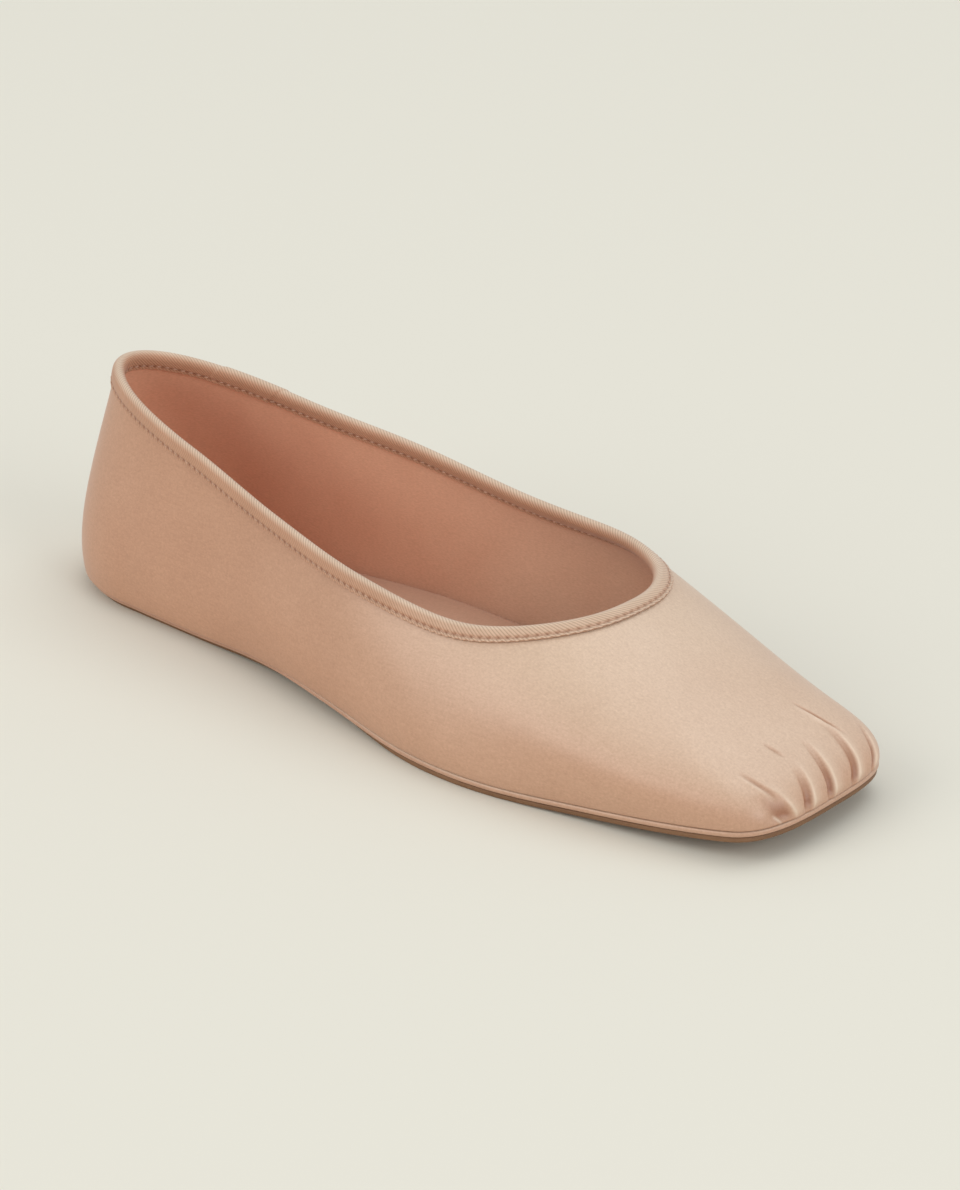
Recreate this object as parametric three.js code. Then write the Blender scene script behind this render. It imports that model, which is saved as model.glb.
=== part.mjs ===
import * as THREE from 'three';

// Ballet flat with a gathered square toe, for the right foot, in millimetres.
// The toe points along +X, the inner (medial) side of the foot lies towards +Y
// and the shoe stands on the plane z = 0.

// Driving sizes of the last
const LENGTH = 250;          // feather line, where upper meets sole, from heel to toe
const BALL_WIDTH = 78;       // across the feather line at the ball of the foot
const BACK_HEIGHT = 59.9;    // rim above the floor at the back of the heel
const THROAT_HEIGHT = 40.9;  // rim above the floor at the throat, over the instep
const RIM_BACK = -117.9;     // rim at the back, from the middle of the length
const RIM_THROAT = 58.6;     // rim at the throat, from the middle of the length
const ARCH_LIFT = 2.4;       // bottom of the sole above the floor at the waist
const TOE_SPRING = 6.2;      // bottom of the sole above the floor at the toe
const AXIS_X = 0.23;         // middle of the length, from the middle of the shoe's box
const AXIS_Y = 2.86;         // axis from heel to toe, from the middle of the shoe's box

// Thickness of the pieces
const SEAM_GAP = 0.3;        // clearance between pieces that are glued or stitched together
const OUTSOLE_THICK = 1.4;
const MIDSOLE_THICK = 1;
const INSOLE_THICK = 2;
const WALL_THICK = 1.6;      // satin, stiffening and lining together
const TAPE_THICK = 0.6;
const TAPE_DEPTH = 4.8;      // how far the binding reaches down either face of the wall
const MIDSOLE_BASE = OUTSOLE_THICK + SEAM_GAP;
const FEATHER_BASE = MIDSOLE_BASE + MIDSOLE_THICK + SEAM_GAP;

// Bottom of the sole: flat under the heel, raised at the waist, flat under the ball, sprung at the toe
const ARCH_START = 0.22;
const ARCH_END = 0.6;
const SPRING_START = 0.7;
const SPRING_POWER = 1.6;

// Feather line. at is the share of the length from the heel; the half widths either side of the
// axis are shares of the ball width.
const SOLE_SECTIONS = [
  { at: 0.14, lateral: 0.36, medial: 0.335 },   // heel seat
  { at: 0.30, lateral: 0.385, medial: 0.345 },  // shank
  { at: 0.46, lateral: 0.475, medial: 0.37 },   // waist
  { at: 0.66, lateral: 0.555, medial: 0.445 },  // ball
  { at: 0.80, lateral: 0.48, medial: 0.39 },    // tread
  { at: 0.95, lateral: 0.385, medial: 0.37 },   // toe corners
  { at: 1.00, lateral: 0.335, medial: 0.335 },  // toe front
];
const SOLE_ENDS = { backShare: 0.128, backPower: 2.05, frontShare: 0.05, frontPower: 3.2 };
const TOE_SKEW = -0.04;      // how much the toe front turns towards the outer side
const SKEW_START = 0.6;

// Rim of the opening. at is the share of the opening from the back; the dips are how far the rim
// hangs below a straight line from the back to the throat.
const RIM_SECTIONS = [
  { at: 0.00, lateral: 0.238, medial: 0.244, lateralDip: 0, medialDip: 0 },
  { at: 0.25, lateral: 0.274, medial: 0.289, lateralDip: 3.2, medialDip: 3.1 },
  { at: 0.45, lateral: 0.333, medial: 0.37, lateralDip: 7.1, medialDip: 4.5 },
  { at: 0.65, lateral: 0.399, medial: 0.41, lateralDip: 7.7, medialDip: 5.9 },
  { at: 0.85, lateral: 0.379, medial: 0.4, lateralDip: 7, medialDip: 3 },
  { at: 1.00, lateral: 0.337, medial: 0.354, lateralDip: 0, medialDip: 0 },
];
const RIM_ENDS = { backShare: 0.26, backPower: 2, frontShare: 0.218, frontPower: 2.5 };

// Lines of the wall from the feather line up to the rim. at is the share along the feather line
// and rim the share along the rim that it runs to, both from the heel. The line leaves the feather
// line leaning out by lean degrees for about root, and reaches the rim falling at pitch degrees
// from about reach away.
const WALL_LINES = [
  { at: 0.00, rim: 0.00, lean: 13, root: 16, pitch: 76, reach: 17.5 },    // back of the heel
  { at: 0.13, rim: 0.10, lean: 13.5, root: 16.5, pitch: 78, reach: 17.5 },
  { at: 0.36, rim: 0.38, lean: 16, root: 12, pitch: 78, reach: 14 },      // waist
  { at: 0.55, rim: 0.62, lean: 18, root: 10, pitch: 66, reach: 12 },      // ball
  { at: 0.70, rim: 0.80, lean: 16, root: 9.5, pitch: 43, reach: 22 },
  { at: 0.84, rim: 0.92, lean: 10.5, root: 12, pitch: 30.5, reach: 42 },  // toe corner
  { at: 1.00, rim: 1.00, lean: 4, root: 12, pitch: 25, reach: 50 },       // toe front
];

// Gathers of the toe. root and head are places along the feather line from the toe front, inner
// side positive, at the two ends of a fold; rise is its length up the wall. Ridges have a
// negative depth.
const TOE_FOLDS = [
  { root: 10, head: 16.5, rise: 28, width: 2, depth: 0.6 },
  { root: 16, head: 25, rise: 11, width: 2.2, depth: 0.6 },
  { root: -2, head: 3, rise: 18, width: 2.2, depth: 0.6 },
  { root: -11, head: -10, rise: 14, width: 2.2, depth: 0.6 },
  { root: -14.5, head: -23.5, rise: 17, width: 2, depth: 0.6 },
  { root: 13, head: 20, rise: 16, width: 2.2, depth: -0.6 },
  { root: 4, head: 9, rise: 20, width: 2.8, depth: -0.7 },
  { root: -6.5, head: -4.5, rise: 16, width: 2.4, depth: -0.7 },
  { root: -13, head: -16, rise: 12, width: 2, depth: -0.5 },
];
const FOLD_FOOT = 0.4;       // share of a fold's depth left at the feather line
const FOLD_GROW = 3;         // height at which it reaches its full depth

// Facets: columns of each half of the shoe from heel to toe, closest at the gathered toe
const COLUMN_ZONES = [
  { end: 0.12, columns: 8 },
  { end: 0.75, columns: 24 },
  { end: 0.87, columns: 6 },
  { end: 1.00, columns: 22 },
];
const WALL_ROWS = 11;
const ROW_POWER = 1.4;       // rows of the wall stand closer near the feather line
const CURVE_STEPS = 400;
const LINE_STEPS = 48;
const NUDGE = 0.002;         // step along the shoe for slopes

// Smooth reading of one column of a table between its rows. With level ends it sets off and
// arrives without slope, so that both sides of the shoe meet in one smooth surface.
function readColumn(rows, column, at, levelEnds = false) {
  const last = rows.length - 1;
  const slope = (i) => (rows[i + 1][column] - rows[i][column]) / (rows[i + 1].at - rows[i].at);
  const tangent = (i) => {
    if (i === 0) return levelEnds ? 0 : slope(0);
    if (i === last) return levelEnds ? 0 : slope(last - 1);
    const before = rows[i].at - rows[i - 1].at;
    const after = rows[i + 1].at - rows[i].at;
    return (slope(i - 1) * after + slope(i) * before) / (before + after);
  };
  let i = 0;
  while (i < last - 1 && at > rows[i + 1].at) i += 1;
  const span = rows[i + 1].at - rows[i].at;
  const t = THREE.MathUtils.clamp((at - rows[i].at) / span, 0, 1);
  const rise = t * t * (3 - 2 * t);
  const leave = t * (1 - t) * (1 - t);
  const arrive = t * t * (t - 1);
  const level = rows[i][column] * (1 - rise) + rows[i + 1][column] * rise;
  return level + span * (tangent(i) * leave + tangent(i + 1) * arrive);
}

// Closing of an outline at its two ends: 0 at the tips, 1 between the rounded ends.
function endRounding(share, ends) {
  const back = Math.max(0, 1 - share / ends.backShare);
  const front = Math.max(0, 1 - (1 - share) / ends.frontShare);
  const backRound = Math.max(0, 1 - back ** ends.backPower) ** (1 / ends.backPower);
  const frontRound = Math.max(0, 1 - front ** ends.frontPower) ** (1 / ends.frontPower);
  return backRound * frontRound;
}

// Height of the bottom of the sole above the floor at a place along the length.
function soleLift(x) {
  const share = x / LENGTH + 0.5;
  const waist = THREE.MathUtils.clamp((share - ARCH_START) / (ARCH_END - ARCH_START), 0, 1);
  const toe = Math.max(0, (share - SPRING_START) / (1 - SPRING_START));
  return ARCH_LIFT * Math.sin(Math.PI * waist) ** 2 + TOE_SPRING * toe ** SPRING_POWER;
}

const SIGN = { lateral: -1, medial: 1 };

function featherPoint(side, share) {
  const half = BALL_WIDTH * readColumn(SOLE_SECTIONS, side, share);
  const y = SIGN[side] * half * endRounding(share, SOLE_ENDS);
  const skew = THREE.MathUtils.clamp((share - SKEW_START) / (1 - SKEW_START), 0, 1);
  const x = LENGTH * (share - 0.5) + TOE_SKEW * y * skew * skew;
  return new THREE.Vector3(x, y, FEATHER_BASE + soleLift(x));
}

function rimPoint(side, share) {
  const half = BALL_WIDTH * readColumn(RIM_SECTIONS, side, share);
  const dip = readColumn(RIM_SECTIONS, `${side}Dip`, share);
  return new THREE.Vector3(
    THREE.MathUtils.lerp(RIM_BACK, RIM_THROAT, share),
    SIGN[side] * half * endRounding(share, RIM_ENDS),
    THREE.MathUtils.lerp(BACK_HEIGHT, THROAT_HEIGHT, share) - dip,
  );
}

// One half of an outline from heel to toe, with the distance along it in plan.
function measuredCurve(pointAt, side) {
  const points = [];
  const distance = [0];
  for (let i = 0; i <= CURVE_STEPS; i += 1) {
    const share = 0.5 - 0.5 * Math.cos((Math.PI * i) / CURVE_STEPS);
    points.push(pointAt(side, share));
    if (i > 0) {
      const step = Math.hypot(points[i].x - points[i - 1].x, points[i].y - points[i - 1].y);
      distance.push(distance[i - 1] + step);
    }
  }
  return { points, distance, length: distance[CURVE_STEPS] };
}

function alongCurve(curve, share) {
  const target = share * curve.length;
  let low = 0;
  let high = curve.points.length - 1;
  while (high - low > 1) {
    const middle = (low + high) >> 1;
    if (curve.distance[middle] > target) high = middle;
    else low = middle;
  }
  const t = (target - curve.distance[low]) / (curve.distance[high] - curve.distance[low]);
  return curve.points[low].clone().lerp(curve.points[high], t);
}

const feather = {
  lateral: measuredCurve(featherPoint, 'lateral'),
  medial: measuredCurve(featherPoint, 'medial'),
};
const rim = {
  lateral: measuredCurve(rimPoint, 'lateral'),
  medial: measuredCurve(rimPoint, 'medial'),
};

// A lap round the shoe: 0 to 1 is the outer side from heel to toe, 1 to 2 the inner side back again.
function placeOnLap(lap) {
  const turn = THREE.MathUtils.euclideanModulo(lap, 2);
  return turn <= 1 ? { side: 'lateral', share: turn } : { side: 'medial', share: 2 - turn };
}

function featherOnLap(lap) {
  const { side, share } = placeOnLap(lap);
  return alongCurve(feather[side], share);
}

function rimOnLap(lap) {
  const { side, share } = placeOnLap(lap);
  return alongCurve(rim[side], readColumn(WALL_LINES, 'rim', share));
}

// Outward direction in plan of an outline that is followed lap-wise.
function planNormal(onLap, lap) {
  const step = onLap(lap + NUDGE).sub(onLap(lap - NUDGE));
  return new THREE.Vector3(step.y, -step.x, 0).normalize();
}

// One line of the wall from the feather line to the rim, with the distance along it.
const measuredLines = new Map();
function wallLine(lap) {
  if (measuredLines.has(lap)) return measuredLines.get(lap);
  const { share } = placeOnLap(lap);
  const lean = THREE.MathUtils.degToRad(readColumn(WALL_LINES, 'lean', share, true));
  const pitch = THREE.MathUtils.degToRad(readColumn(WALL_LINES, 'pitch', share, true));
  const root = readColumn(WALL_LINES, 'root', share, true);
  const reach = readColumn(WALL_LINES, 'reach', share, true);
  const foot = featherOnLap(lap);
  const top = rimOnLap(lap);
  const low = foot.clone().addScaledVector(planNormal(featherOnLap, lap), root * Math.sin(lean));
  low.z += root * Math.cos(lean);
  const high = top.clone().addScaledVector(planNormal(rimOnLap, lap), reach * Math.cos(pitch));
  high.z -= reach * Math.sin(pitch);
  const curve = new THREE.CubicBezierCurve3(foot, low, high, top);
  const points = curve.getPoints(LINE_STEPS);
  const distance = [0];
  for (let i = 1; i <= LINE_STEPS; i += 1) {
    distance.push(distance[i - 1] + points[i].distanceTo(points[i - 1]));
  }
  const line = { points, distance, length: distance[LINE_STEPS] };
  measuredLines.set(lap, line);
  return line;
}

function wallPoint(lap, share) {
  return alongCurve(wallLine(lap), share);
}

function wallNormal(lap, share) {
  const lower = Math.max(0, share - NUDGE);
  const upper = Math.min(1, share + NUDGE);
  const around = wallPoint(lap + NUDGE, share).sub(wallPoint(lap - NUDGE, share));
  const upward = wallPoint(lap, upper).sub(wallPoint(lap, lower));
  return around.cross(upward).normalize();
}

// A point near the wall: a share up it, and stood off its outer face.
function offWall(lap, share, offset) {
  return wallPoint(lap, share).addScaledVector(wallNormal(lap, share), offset);
}

// Relief of the gathered toe at a place along the feather line and a height up the wall.
function foldRelief(across, up) {
  let relief = 0;
  for (const fold of TOE_FOLDS) {
    const along = Math.min(1, up / fold.rise);
    const centre = THREE.MathUtils.lerp(fold.root, fold.head, along);
    const start = THREE.MathUtils.lerp(FOLD_FOOT, 1, Math.min(1, up / FOLD_GROW));
    const fade = (1 - along * along) * start;
    relief -= fold.depth * fade * Math.exp(-(((across - centre) / fold.width) ** 2));
  }
  return relief;
}

// Columns of facets round the whole shoe; column 0 is the back of the heel.
const halfColumns = [0];
for (const zone of COLUMN_ZONES) {
  const start = halfColumns[halfColumns.length - 1];
  for (let i = 1; i <= zone.columns; i += 1) {
    halfColumns.push(THREE.MathUtils.lerp(start, zone.end, i / zone.columns));
  }
}
const HALF_COUNT = halfColumns.length - 1;
const returnColumns = halfColumns.slice(1, HALF_COUNT).reverse().map((share) => 2 - share);
const laps = [...halfColumns, ...returnColumns];

// Faces between neighbouring rings of points, each ring following the lap.
function joinRings(rings, faces, closed) {
  const count = laps.length;
  const joins = closed ? rings.length : rings.length - 1;
  for (let r = 0; r < joins; r += 1) {
    const here = r * count;
    const next = ((r + 1) % rings.length) * count;
    for (let i = 0; i < count; i += 1) {
      const j = (i + 1) % count;
      faces.push(here + i, here + j, next + j, here + i, next + j, next + i);
    }
  }
}

// Face across the inside of a ring, laid like the rungs of a ladder from side to side.
function closeRing(ring, faces, upward) {
  const count = laps.length;
  const first = ring * count;
  const add = (a, b, c) => {
    if (upward) faces.push(first + a, first + b, first + c);
    else faces.push(first + a, first + c, first + b);
  };
  for (let i = 0; i < HALF_COUNT; i += 1) {
    const near = (count - i) % count;
    const far = count - i - 1;
    if (i < HALF_COUNT - 1) add(i, i + 1, far);
    else add(i, i + 1, near);
    if (i > 0 && i < HALF_COUNT - 1) add(i, far, near);
  }
}

const shoe = new THREE.Group();
shoe.name = 'ballet_flat';

function addPiece(name, rings, faces, colour, roughness) {
  const geometry = new THREE.BufferGeometry();
  geometry.setFromPoints(rings.flat());
  geometry.setIndex(faces);
  geometry.translate(AXIS_X, AXIS_Y, 0);
  geometry.computeVertexNormals();
  const mesh = new THREE.Mesh(geometry, new THREE.MeshStandardMaterial({ color: colour, roughness }));
  mesh.name = name;
  shoe.add(mesh);
}

// A plate that follows the bottom of the shoe: rows give the height of a ring over the bottom of
// the sole and how far it stands in from the feather line.
function addPlate(name, rows, insetAt, colour, roughness) {
  const rings = rows.map((row) => laps.map((lap) => {
    const point = featherOnLap(lap);
    point.addScaledVector(planNormal(featherOnLap, lap), -row.inset - insetAt(point.x));
    point.z = row.height + soleLift(point.x);
    return point;
  }));
  const faces = [];
  joinRings(rings, faces, false);
  closeRing(0, faces, false);
  closeRing(rings.length - 1, faces, true);
  addPiece(name, rings, faces, colour, roughness);
}

// How far a plate stands in under the heel and at the forefoot. It comes out between the two
// shares of the length.
function setIn(x, inset) {
  const outward = THREE.MathUtils.smoothstep(x / LENGTH + 0.5, inset.start, inset.end);
  return THREE.MathUtils.lerp(inset.heel, inset.forefoot, outward);
}

// Outsole: thin tan sheet, almost flush at the forefoot and set in under the waist and heel
const OUTSOLE_INSET = { heel: 2.6, forefoot: 0.4, start: 0.4, end: 0.62 };
const OUTSOLE_EDGE = 0.4;
const outsoleInset = (x) => setIn(x, OUTSOLE_INSET);
addPlate('outsole', [
  { height: 0, inset: OUTSOLE_EDGE },
  { height: OUTSOLE_EDGE, inset: 0 },
  { height: OUTSOLE_THICK - OUTSOLE_EDGE / 2, inset: 0 },
  { height: OUTSOLE_THICK, inset: OUTSOLE_EDGE / 2 },
], outsoleInset, '#96714f', 0.7);

// Covered midsole: board wrapped in the satin of the upper, its edge rounded by the cloth. It
// draws back under the heel and shows as a strip from the waist to the toe.
const MIDSOLE_INSET = { heel: 1.1, forefoot: 0, start: 0.3, end: 0.5 };
const MIDSOLE_EDGE = 0.45;
const midsoleInset = (x) => setIn(x, MIDSOLE_INSET);
addPlate('covered_midsole', [
  { height: MIDSOLE_BASE, inset: MIDSOLE_EDGE },
  { height: MIDSOLE_BASE + MIDSOLE_EDGE, inset: 0 },
  { height: MIDSOLE_BASE + MIDSOLE_THICK - MIDSOLE_EDGE, inset: 0 },
  { height: MIDSOLE_BASE + MIDSOLE_THICK, inset: MIDSOLE_EDGE },
], midsoleInset, '#c49c82', 0.5);

// Insole: padded sock laid inside the wall
const INSOLE_EDGE = 0.8;
const insoleInset = () => WALL_THICK + SEAM_GAP;
addPlate('insole', [
  { height: FEATHER_BASE, inset: 0 },
  { height: FEATHER_BASE + INSOLE_THICK - INSOLE_EDGE, inset: 0 },
  { height: FEATHER_BASE + INSOLE_THICK, inset: INSOLE_EDGE },
], insoleInset, '#c3977c', 0.8);

// Upper: one hollow wall, open at the rim and underneath, gathered into folds at the toe
const EDGE_DEPTH = TAPE_THICK + SEAM_GAP;
const BOUND_MARGIN = 0.5;    // last full row of facets below the edge of the tape
const BOUND_DEPTH = TAPE_DEPTH + BOUND_MARGIN;
function wallRow(row, lap) {
  const { length } = wallLine(lap);
  if (row > WALL_ROWS) return 1 - EDGE_DEPTH / length;
  return (1 - BOUND_DEPTH / length) * (row / WALL_ROWS) ** ROW_POWER;
}
const outerFace = [];
const innerFace = [];
for (let row = 0; row <= WALL_ROWS + 1; row += 1) {
  outerFace.push(laps.map((lap) => {
    const { side, share } = placeOnLap(lap);
    const height = wallRow(row, lap);
    const across = SIGN[side] * (1 - share) * feather[side].length;
    const point = offWall(lap, height, foldRelief(across, height * wallLine(lap).length));
    if (row === 0) point.z = wallPoint(lap, 0).z;
    return point;
  }));
  innerFace.unshift(laps.map((lap) => {
    const point = offWall(lap, wallRow(row, lap), -WALL_THICK);
    if (row === 0) point.z = wallPoint(lap, 0).z;
    return point;
  }));
}
const upperRings = [...outerFace, ...innerFace];
const upperFaces = [];
joinRings(upperRings, upperFaces, true);
addPiece('upper', upperRings, upperFaces, '#c9a28a', 0.45);

// Collar binding: bias tape folded over the top edge of the wall
const TAPE_OUT = SEAM_GAP + TAPE_THICK;
const FOLD_START = 0.9;      // depth at which the faces of the tape turn over the edge
const FOLD_CORNER = 0.25;    // depth of the corners of that turn
const FOLD_BEVEL = 0.6;      // how far those corners stand in from the faces
const TAPE_SECTION = [
  { depth: TAPE_DEPTH, offset: TAPE_OUT },
  { depth: FOLD_START, offset: TAPE_OUT },
  { depth: FOLD_CORNER, offset: TAPE_OUT - FOLD_BEVEL },
  { depth: 0, offset: -WALL_THICK / 2 },
  { depth: FOLD_CORNER, offset: FOLD_BEVEL - WALL_THICK - TAPE_OUT },
  { depth: FOLD_START, offset: -WALL_THICK - TAPE_OUT },
  { depth: TAPE_DEPTH, offset: -WALL_THICK - TAPE_OUT },
  { depth: TAPE_DEPTH, offset: -WALL_THICK - SEAM_GAP },
  { depth: TAPE_THICK, offset: -WALL_THICK - SEAM_GAP },
  { depth: TAPE_THICK, offset: SEAM_GAP },
  { depth: TAPE_DEPTH, offset: SEAM_GAP },
];
const tapeRings = TAPE_SECTION.map((corner) => laps.map((lap) => (
  offWall(lap, 1 - corner.depth / wallLine(lap).length, corner.offset)
)));
const tapeFaces = [];
joinRings(tapeRings, tapeFaces, true);
addPiece('collar_binding', tapeRings, tapeFaces, '#d2b29b', 0.6);

export default shoe;
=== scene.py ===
import math

import bpy
import numpy as np
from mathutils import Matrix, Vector


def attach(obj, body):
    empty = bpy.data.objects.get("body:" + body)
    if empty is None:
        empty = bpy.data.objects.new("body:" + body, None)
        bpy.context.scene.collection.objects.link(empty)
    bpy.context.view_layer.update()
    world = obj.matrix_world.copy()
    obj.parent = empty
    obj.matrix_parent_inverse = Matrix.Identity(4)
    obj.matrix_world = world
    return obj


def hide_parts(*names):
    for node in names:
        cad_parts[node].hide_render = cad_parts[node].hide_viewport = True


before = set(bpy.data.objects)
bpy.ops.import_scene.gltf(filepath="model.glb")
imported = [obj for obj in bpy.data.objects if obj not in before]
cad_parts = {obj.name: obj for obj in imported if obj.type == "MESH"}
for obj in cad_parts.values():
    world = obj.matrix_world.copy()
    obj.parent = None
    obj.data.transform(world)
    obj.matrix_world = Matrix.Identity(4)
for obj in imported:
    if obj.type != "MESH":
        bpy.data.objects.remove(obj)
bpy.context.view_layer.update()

# Outsole: thin tan leather, cut to the outline of the last and cemented under the covered
# midsole. It is set in under heel and waist and comes out almost to the edge at forefoot and toe.

# Sizes are in millimetres about the axis from heel to toe; +X is the toe and +Y the inner side
# of the right foot. The tables are those that shape the solids of the frame. In them, at is a
# share of the way from back to front, and lateral and medial are half widths of the outer and the
# inner side as shares of the ball's width.
MM = 0.001
LENGTH = 250.0
BALL_WIDTH = 78.0
ARCH_LIFT = 2.4
ARCH_START = 0.22
ARCH_END = 0.60
TOE_SPRING = 6.2
SPRING_START = 0.70
SPRING_POWER = 1.6
TOE_SKEW = -0.04
SKEW_START = 0.6
AXIS_PLACE = np.array([0.23, 2.86, 0.0])
SIDES = ("lateral", "medial")
SOLE_SECTIONS = [
    dict(at=0.14, lateral=0.36, medial=0.335),
    dict(at=0.30, lateral=0.385, medial=0.345),
    dict(at=0.46, lateral=0.475, medial=0.37),
    dict(at=0.66, lateral=0.555, medial=0.445),
    dict(at=0.80, lateral=0.48, medial=0.39),
    dict(at=0.95, lateral=0.385, medial=0.37),
    dict(at=1.00, lateral=0.335, medial=0.335),
]
# An outline closes at its ends over these shares of its length, the squarer the higher the power.
SOLE_ENDS = dict(back_share=0.128, back_power=2.05, front_share=0.05, front_power=3.2)
CURVE_STEPS = 1200
NUDGE = 0.002
OUTSOLE_THICK = 1.4
OUTSOLE_EDGE = 0.4
OUTSOLE_INSET = dict(heel=2.6, forefoot=0.4, start=0.40, end=0.62)
# How the edge turns, from the flat face: rises and insets in shares of OUTSOLE_EDGE.
OUTSOLE_LOWER_TURN = [
    dict(rise=0.0, inset=1.0),
    dict(rise=0.42, inset=0.12),
    dict(rise=1.05, inset=0.0),
]
OUTSOLE_UPPER_TURN = [
    dict(rise=0.0, inset=0.5),
    dict(rise=0.7, inset=0.0),
]
PLATE_COLUMNS = 220
PLATE_CROSS = 26
# A plate takes its full crown where it is at least this wide; a high power keeps its middle flat.
CROWN_FULL_WIDTH = BALL_WIDTH / 2
CROWN_POWER = 4
SHARP_ANGLE = math.radians(55)
# Painted light: cloth is painted paler where it faces up, a painted sheen that is less toward the toe,
# and painted paler in the front of the shoe.
PALE_POWER = 2.3
TOE_DEEPER = 0.44
TOE_STRETCH = (25.0, 110.0)
FRONT_PALE = 0.19
PALE_STRETCH = (-70.0, 70.0)
# Most values of a noise texture lie in this range. Blender's mix node repeats the names of its
# sockets, so those for colours are known by their places.
NOISE_RANGE = (0.3, 0.7)
MIX_FIRST = 6
MIX_SECOND = 7
MIX_RESULT = 2
WHITE = (1.0, 1.0, 1.0)
SOLE_TAN = (0.210, 0.108, 0.054)
SOLE_LIGHT = (0.285, 0.155, 0.082)


def read_column(rows, column, at, level_ends=False):
    """Smooth reading of one column of a table between its rows. With level ends it sets off and
    arrives without slope, so that both sides of the shoe meet in one smooth surface."""
    place = np.array([row["at"] for row in rows])
    value = np.array([row[column] for row in rows])
    step = np.diff(place)
    slope = np.diff(value) / step
    tangent = np.concatenate([slope[:1], slope]) * (not level_ends)
    tangent[1:-1] = (slope[:-1] * step[1:] + slope[1:] * step[:-1]) / (step[:-1] + step[1:])
    i = np.clip(np.searchsorted(place, at, side="right") - 1, 0, len(step) - 1)
    t = np.clip((at - place[i]) / step[i], 0, 1)
    rise = t * t * (3 - 2 * t)
    level = value[i] * (1 - rise) + value[i + 1] * rise
    bend = tangent[i] * t * (1 - t) ** 2 + tangent[i + 1] * t * t * (t - 1)
    return level + step[i] * bend


def soft_step(low, high, at):
    """Smooth rise from 0 to 1 as at goes from low to high."""
    t = np.clip((at - low) / (high - low), 0, 1)
    return t * t * (3 - 2 * t)


def unit(vectors):
    return vectors / np.linalg.norm(vectors, axis=-1, keepdims=True)


def end_rounding(share, ends):
    """Closing of an outline at its two ends: 0 at the tips, 1 between the rounded ends."""
    back = np.clip(1 - share / ends["back_share"], 0, 1)
    front = np.clip(1 - (1 - share) / ends["front_share"], 0, 1)
    back_round = (1 - back ** ends["back_power"]) ** (1 / ends["back_power"])
    return back_round * (1 - front ** ends["front_power"]) ** (1 / ends["front_power"])


def share_along(x):
    """Share of the length from heel to toe at a place along the axis."""
    return x / LENGTH + 0.5


def sole_lift(x):
    """Height of the bottom of the sole above the floor at a place along the axis."""
    share = share_along(x)
    waist = np.clip((share - ARCH_START) / (ARCH_END - ARCH_START), 0, 1)
    toe = np.clip((share - SPRING_START) / (1 - SPRING_START), 0, None)
    return ARCH_LIFT * np.sin(np.pi * waist) ** 2 + TOE_SPRING * toe ** SPRING_POWER


def sole_outline(side, share):
    """Outline of the last's bottom in plan, on one side, from heel to toe."""
    sign = -1 if side == "lateral" else 1
    half = BALL_WIDTH * read_column(SOLE_SECTIONS, side, share)
    y = sign * half * end_rounding(share, SOLE_ENDS)
    skew = np.clip((share - SKEW_START) / (1 - SKEW_START), 0, 1)
    x = LENGTH * (share - 0.5) + TOE_SKEW * y * skew ** 2
    return np.stack([x, y, sole_lift(x)], -1)


def half_curve(points_at, side):
    """One half of an outline from heel to toe, with the distance along it in plan."""
    share = 0.5 - 0.5 * np.cos(np.linspace(0, np.pi, CURVE_STEPS + 1))
    points = points_at(side, share)
    step = np.hypot(*np.diff(points[:, :2], axis=0).T)
    return points, np.concatenate([[0], np.cumsum(step)])


def along_curve(points, distance, target):
    return np.stack([np.interp(target, distance, points[:, k]) for k in range(3)], -1)


def on_halves(halves, outer, share):
    """Points at shares along an outline, on its outer half where outer is true."""
    sides = []
    for side in SIDES:
        points, distance = halves[side]
        sides.append(along_curve(points, distance, share * distance[-1]))
    return np.where(outer[:, None], *sides)


SOLE_HALVES = {side: half_curve(sole_outline, side) for side in SIDES}


def lap_place(lap):
    """A lap round the shoe: 0 to 1 is the outer side from heel to toe, 1 to 2 the inner side."""
    turn = np.mod(lap, 2)
    return turn <= 1, np.where(turn <= 1, turn, 2 - turn)


def sole_on_lap(lap):
    """Points of the sole's outline at places on the lap."""
    return on_halves(SOLE_HALVES, *lap_place(lap))


def plan_normal(on_lap, lap):
    """Outward direction in plan of a line round the shoe."""
    step = on_lap(lap + NUDGE) - on_lap(lap - NUDGE)
    return unit(np.stack([step[:, 1], -step[:, 0], np.zeros(len(lap))], -1))


def make_piece(name, points, faces, places=None):
    """A smooth mesh in metres; places are cloth places in millimetres for each face corner. The
    mesh also keeps a share of painted light at each point: painted sheen where it faces up, and
    painted paleness toward the front."""
    mesh = bpy.data.meshes.new(name)
    mesh.from_pydata(((points + AXIS_PLACE) * MM).tolist(), [], faces)
    if places is None:
        places = points[np.array([loop.vertex_index for loop in mesh.loops])]
    lie = mesh.attributes.new("lie", "FLOAT_VECTOR", "CORNER")
    lie.data.foreach_set("vector", places.astype(np.float32).ravel())
    normals = np.array([normal.vector for normal in mesh.vertex_normals])
    pale = np.clip(normals[:, 2], 0, 1) ** PALE_POWER
    pale *= 1 - TOE_DEEPER * soft_step(*TOE_STRETCH, points[:, 0])
    pale += FRONT_PALE * soft_step(*PALE_STRETCH, points[:, 0])
    painted_light = mesh.attributes.new("painted_light", "FLOAT", "POINT")
    painted_light.data.foreach_set("value", pale.astype(np.float32))
    mesh.shade_smooth()
    mesh.set_sharp_from_angle(angle=SHARP_ANGLE)
    piece = bpy.data.objects.new(name, mesh)
    bpy.context.scene.collection.objects.link(piece)
    return piece


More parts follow.
